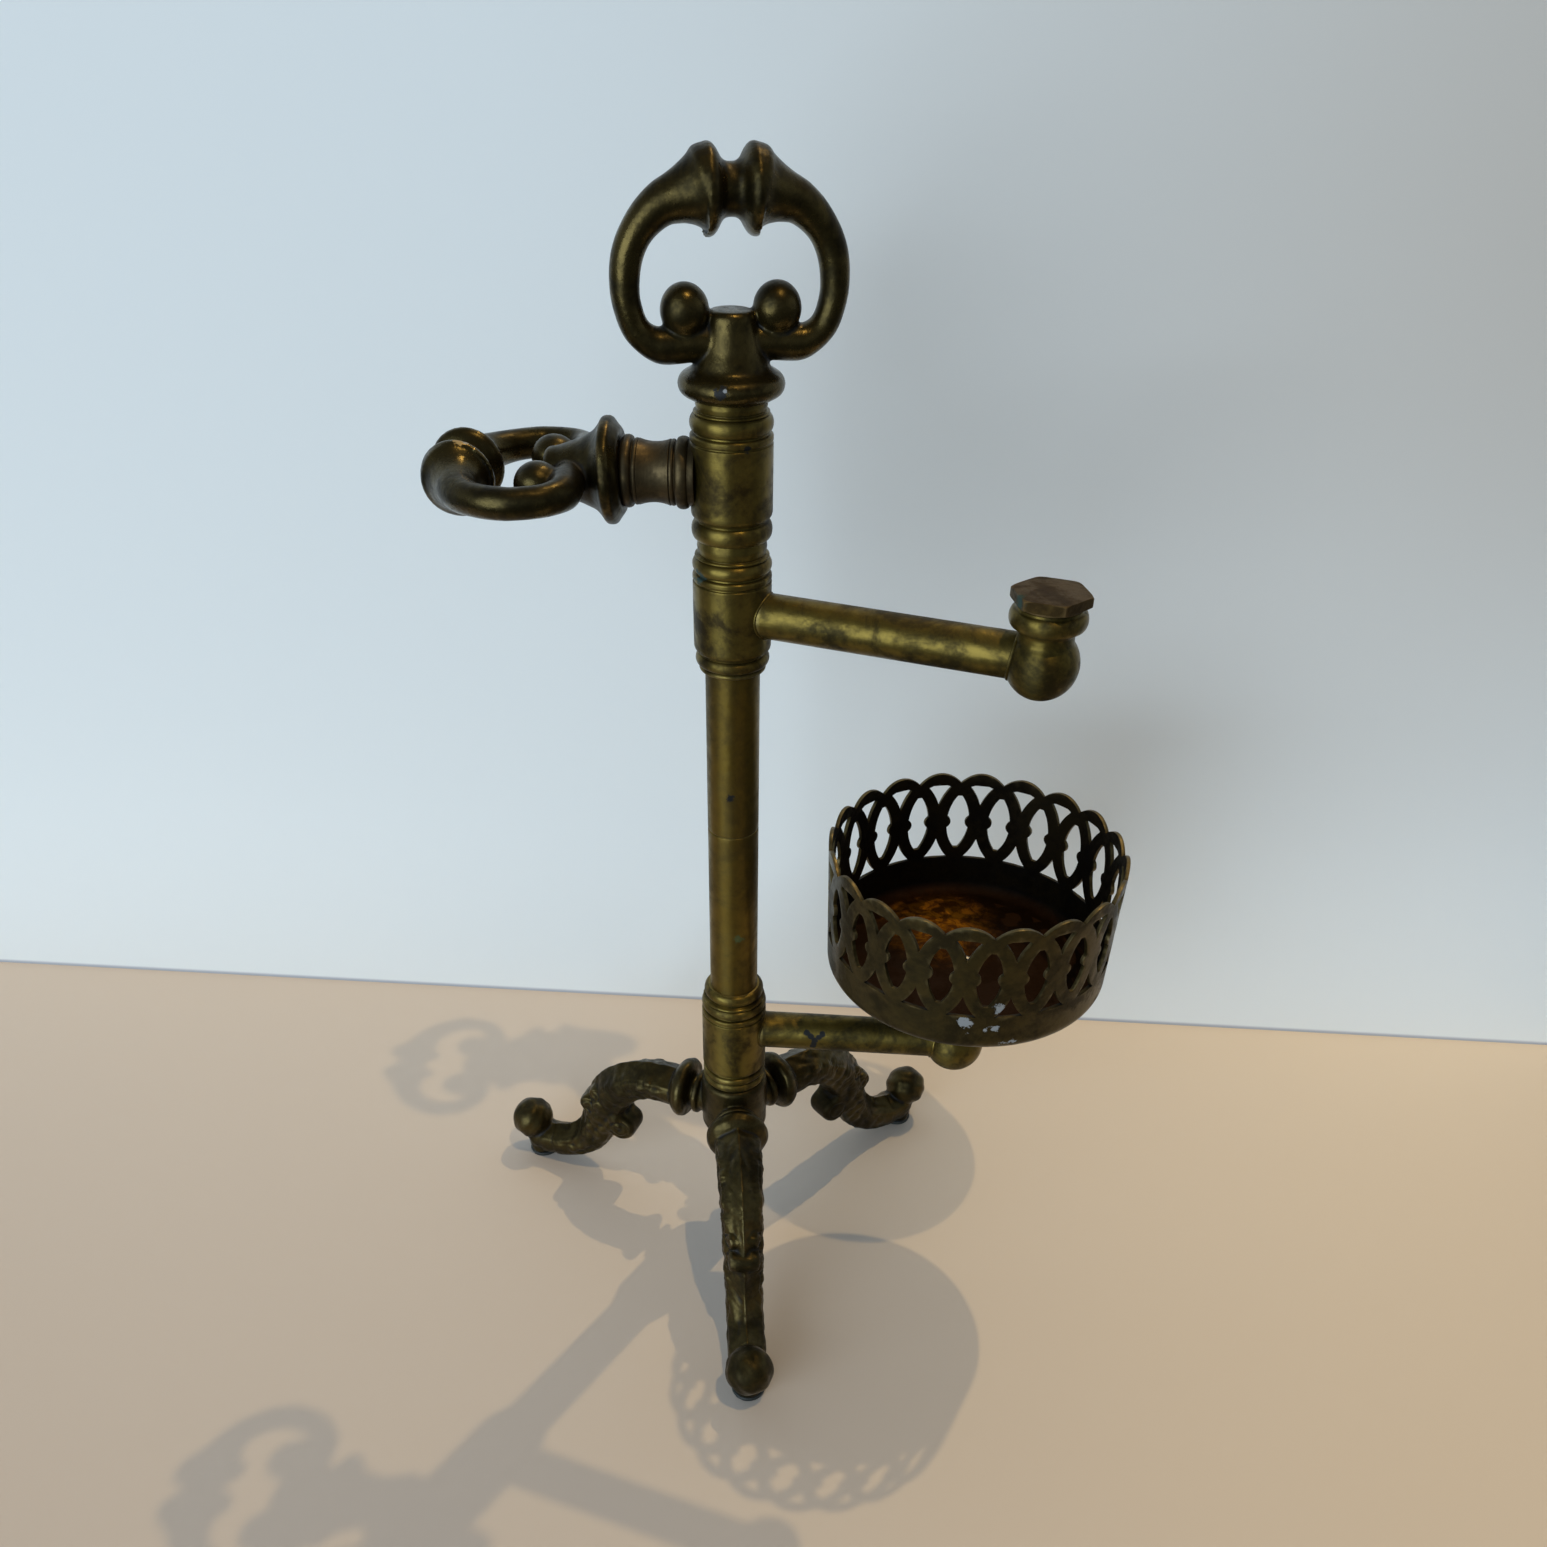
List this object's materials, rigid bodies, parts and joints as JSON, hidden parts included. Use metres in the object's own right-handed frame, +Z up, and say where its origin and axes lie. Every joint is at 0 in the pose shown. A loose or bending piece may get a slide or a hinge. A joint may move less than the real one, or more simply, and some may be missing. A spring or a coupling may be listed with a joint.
{
  "type": "shaving stand",
  "caption": "Old brass shaving stand: a tripod column with a carrying handle, a swivelling brush loop, a long socket arm and a lower arm with a pierced mug basket.",
  "frame": {"origin": "the point on the table straight under the column's axis", "axes": "+Z up the column, +X to the right with the basket, +Y to the back"},
  "size_m": [0.2137, 0.157, 0.3579],
  "materials": {
    "bronze_casting": "dark patinated casting",
    "brass_tube": "aged drawn tube",
    "turned_brass": "aged turned brass",
    "basket_brass": "aged sheet brass",
    "plug_brass": "brown patina with verdigris",
    "steel_hardware": "dull plated steel",
    "foot_rubber": "matt black"
  },
  "bodies": {
    "base": {"hub": "bronze_casting", "leg_front": "bronze_casting", "leg_left": "bronze_casting", "leg_right": "bronze_casting", "leg_studs": "steel_hardware", "foot_pads": "foot_rubber", "lower_column_tube": "brass_tube", "upper_column_tube": "brass_tube", "column_nipple": "brass_tube", "tie_rod": "steel_hardware", "base_washer": "turned_brass", "base_nut": "steel_hardware", "spacer_ring": "turned_brass", "neck_ring": "turned_brass", "top_handle": "bronze_casting"},
    "lower_arm": {"lower_sleeve": "turned_brass", "lower_arm_tube": "brass_tube", "lower_ball_end": "turned_brass"},
    "basket": {"basket_stem": "turned_brass", "basket_cup": "basket_brass", "basket_screw": "steel_hardware"},
    "upper_arm": {"upper_sleeve": "turned_brass", "upper_arm_tube": "brass_tube", "upper_ball_end": "turned_brass"},
    "plug": {"socket_plug": "plug_brass"},
    "brush_holder": {"brush_collar": "turned_brass", "brush_spigot": "bronze_casting", "spigot_stud": "steel_hardware", "brush_loop": "bronze_casting"}
  },
  "joints": [
    {"name": "lower_arm_swing", "type": "hinge", "parent": "base", "child": "lower_arm", "pos_m": [0, 0, 0.0903], "axis": [0, 0, 1], "continuous": true},
    {"name": "basket_turn", "type": "hinge", "parent": "lower_arm", "child": "basket", "pos_m": [0.07694, -0.00741, 0.1054], "axis": [0, 0, 1], "continuous": true},
    {"name": "upper_arm_swing", "type": "hinge", "parent": "base", "child": "upper_arm", "pos_m": [0, 0, 0.2436], "axis": [0, 0, 1], "continuous": true},
    {"name": "plug_turn", "type": "hinge", "parent": "upper_arm", "child": "plug", "pos_m": [0.08233, -0.03327, 0.2587], "axis": [0, 0, 1], "continuous": true},
    {"name": "brush_holder_swing", "type": "hinge", "parent": "base", "child": "brush_holder", "pos_m": [0, 0, 0.28145], "axis": [0, 0, 1], "continuous": true}
  ]
}
